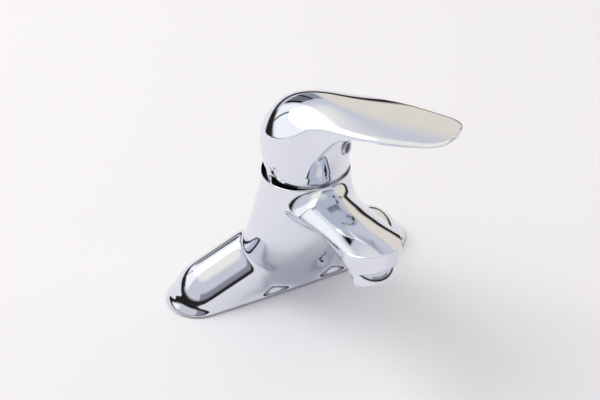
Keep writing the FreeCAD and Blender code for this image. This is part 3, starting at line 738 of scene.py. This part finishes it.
# Index plug.
# A small plated plastic cap that closes the hole of the handle's grub screw, with a clear domed
# lens over a silvered disc.
plug_way = Vector((math.sin(LEVER), -math.cos(LEVER), 0))
bezel = turned("index_plug_bezel", [(-5.0, 0.0), (-5.0, 3.4), (0.0, 3.4), (0.05, 4.1), (0.9, 4.2),
                                    (1.4, 4.1), (1.65, 3.85), (1.7, 3.5), (1.6, 3.2), (1.2, 3.0),
                                    (1.1, 0.0)])
stood(bezel, plug_place, plug_way)
smooth_shaded(bezel, crease_deg=50)
# Plating on plastic is a little greyer and softer than on polished metal.
plated_plastic = chrome_material("plated_plastic", "#D5D8DF", 0.04, 0.09)
bezel.data.materials.append(plated_plastic)
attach(bezel, "lever")
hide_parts("index_plug")

lens = turned("index_plug_lens", [(1.12, 0.0), (1.12, 2.85), (1.5, 2.9), (1.75, 2.6), (1.98, 2.0),
                                  (2.12, 1.2), (2.18, 0.0)])
stood(lens, plug_place, plug_way)
smooth_shaded(lens, crease_deg=60)
# The silvered disc behind the clear dome makes it a smooth, dark mirror.
smoked_lens = grainy_material("silvered_lens", ("#4A4C52", "#5C5F66"), grain_mm=2.0,
                              rough=(0.04, 0.1), bump_mm=0.0, metallic=1.0)
lens.data.materials.append(smoked_lens)
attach(lens, "lever")
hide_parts("index_lens")


# Aerator.
# A turned brass housing, chrome plated, screwed into the end of the spout. Inside are a plastic
# insert, a fine screen and a flow regulator.
collar = turned("aerator_collar", [(7.0, 9.2), (7.0, 10.7), (0.3, 10.7), (0.0, 11.3),
                                   (-0.15, 11.8), (-0.5, 12.0), (-6.3, 12.0), (-6.8, 11.8),
                                   (-7.0, 11.4), (-7.0, 8.6), (-6.9, 8.2), (-6.5, 8.2),
                                   (-6.0, 8.2), (-6.0, 9.2), (7.0, 9.2)], segments=96)
stood(collar, AERATOR_SEAT, -AERATOR_WAY)
smooth_shaded(collar, crease_deg=35)
collar.data.materials.append(bright_chrome)
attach(collar, "fixed")
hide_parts("aerator_housing")
acetal_grey = moulded_acetal("acetal_grey", "#8B8E92", "#9DA0A4")
for node, material in (("aerator_insert", acetal_white), ("aerator_screen", acetal_grey),
                       ("flow_regulator", acetal_grey)):
    coat(node, material)


# Table, room and camera.
# The tap stands on a white table in a bright room. The room has pale walls, a warm ceiling, a
# window wall at the back left and some dark things, which the chrome shows as streaks.
deselect()
bpy.ops.mesh.primitive_plane_add(size=12.0)
table = bpy.context.object
table.name = "table"
# Matt white paint, with hardly any shine.
table_top, tree = new_material("white_table")
paint = add_node(tree, "ShaderNodeBsdfPrincipled", {},
                 {"Base Color": linear("#F4F3F8"), "Roughness": 0.85, "Specular IOR Level": 0.1})
add_node(tree, "ShaderNodeOutputMaterial", {}, {"Surface": paint.outputs["BSDF"]})
table.data.materials.append(table_top)

world = bpy.data.worlds.new("bright_room")
bpy.context.scene.world = world
world.use_nodes = True
tree = world.node_tree
tree.nodes.clear()
place = add_node(tree, "ShaderNodeTexCoord", {}, {})
way = add_node(tree, "ShaderNodeSeparateXYZ", {}, {"Vector": place.outputs["Generated"]})
bearing = add_node(tree, "ShaderNodeMath", {"operation": "ARCTAN2"},
                   {0: way.outputs["X"], 1: way.outputs["Y"]})
height = add_node(tree, "ShaderNodeMath", {"operation": "ARCSINE"}, {0: way.outputs["Z"]})


def soft_band(value, low, high, soft):
    # 1 between low and high, in degrees, and fading to 0 on both sides.
    rise = add_node(tree, "ShaderNodeMapRange", {"interpolation_type": "SMOOTHSTEP"},
                    {"Value": value, "From Min": math.radians(low - soft),
                     "From Max": math.radians(low + soft)})
    fall = add_node(tree, "ShaderNodeMapRange", {"interpolation_type": "SMOOTHSTEP"},
                    {"Value": value, "From Min": math.radians(high - soft),
                     "From Max": math.radians(high + soft), "To Min": 1.0, "To Max": 0.0})
    both = add_node(tree, "ShaderNodeMath", {"operation": "MULTIPLY"},
                    {0: rise.outputs["Result"], 1: fall.outputs["Result"]})
    return both.outputs[0]


# What is in the room: bearing from and to (0 is behind the tap, 90 to its right), height from
# and to, softness, colour and brightness
ROOM = [((-180, 180), (52, 95), 8, "#FFFBF2", 1.25),
        ((24, 100), (-5, 44), 5, "#F4EADB", 1.2),
        ((-80, -14), (14, 60), 4, "#FFFFFF", 1.35),
        ((-11, -4), (17, 40), 1.5, "#231F1E", 0.25),
        ((-4, 8), (17, 40), 1.5, "#A0A4B0", 0.6),
        ((8, 13), (15, 38), 1.2, "#2C2827", 0.3),
        ((13, 22), (12, 36), 1.5, "#B4B6C0", 0.8),
        ((-62, -18), (-2, 13), 2, "#5C4A42", 0.45),
        ((-36, -33), (13, 34), 1, "#6B6664", 0.5),
        ((116, 132), (25, 53), 3, "#33261F", 0.3),
        ((138, 180), (8, 22), 3, "#B3B1BC", 0.8),
        ((-180, -140), (8, 22), 3, "#B3B1BC", 0.8),
        ((-180, 180), (-4, 9), 3, "#4A4442", 0.4)]
WHOLE_TURN = 360
walls = add_node(tree, "ShaderNodeRGB", {}, {})
walls.outputs["Color"].default_value = linear("#EDEEF5")
colour = walls.outputs["Color"]
for (left, right), (low, high), soft, tone, bright in ROOM:
    across = 1.0 if right - left == WHOLE_TURN else soft_band(bearing.outputs[0], left, right, soft)
    upward = soft_band(height.outputs[0], low, high, soft)
    amount = add_node(tree, "ShaderNodeMath", {"operation": "MULTIPLY"}, {0: across, 1: upward})
    over = add_node(tree, "ShaderNodeMix", {"data_type": "RGBA"}, {"Factor": amount.outputs[0]})
    tree.links.new(colour, over.inputs["A"])
    over.inputs["B"].default_value = tuple(c * bright for c in linear(tone)[:3]) + (1.0,)
    colour = over.outputs["Result"]
sky = add_node(tree, "ShaderNodeBackground", {}, {"Color": colour, "Strength": 0.82})
add_node(tree, "ShaderNodeOutputWorld", {}, {"Surface": sky.outputs["Background"]})


def aimed(item, place, target):
    item.location = place
    way = Vector(target) - item.location
    item.rotation_euler = way.to_track_quat("-Z", "Y").to_euler()


# A broad soft light comes from the window side. Places are in metres from the middle of the base.
lamp_data = bpy.data.lights.new("window_light", "AREA")
lamp_data.shape = "DISK"
lamp_data.size = 0.9
lamp_data.energy = 7.4
lamp_data.color = linear("#FFFDF8")[:3]
lamp = bpy.data.objects.new("window_light", lamp_data)
bpy.context.scene.collection.objects.link(lamp)
aimed(lamp, (-0.75, 0.75, 1.35), (0, -0.03, 0.05))

camera_data = bpy.data.cameras.new("camera")
camera_data.lens = 72.0
camera_data.sensor_width = 36.0
camera = bpy.data.objects.new("camera", camera_data)
bpy.context.scene.collection.objects.link(camera)
aimed(camera, (-0.2404, -0.4879, 0.4919), (0.0071, 0.0, 0.0489))
bpy.context.scene.camera = camera
bpy.context.scene.view_settings.view_transform = "Standard"
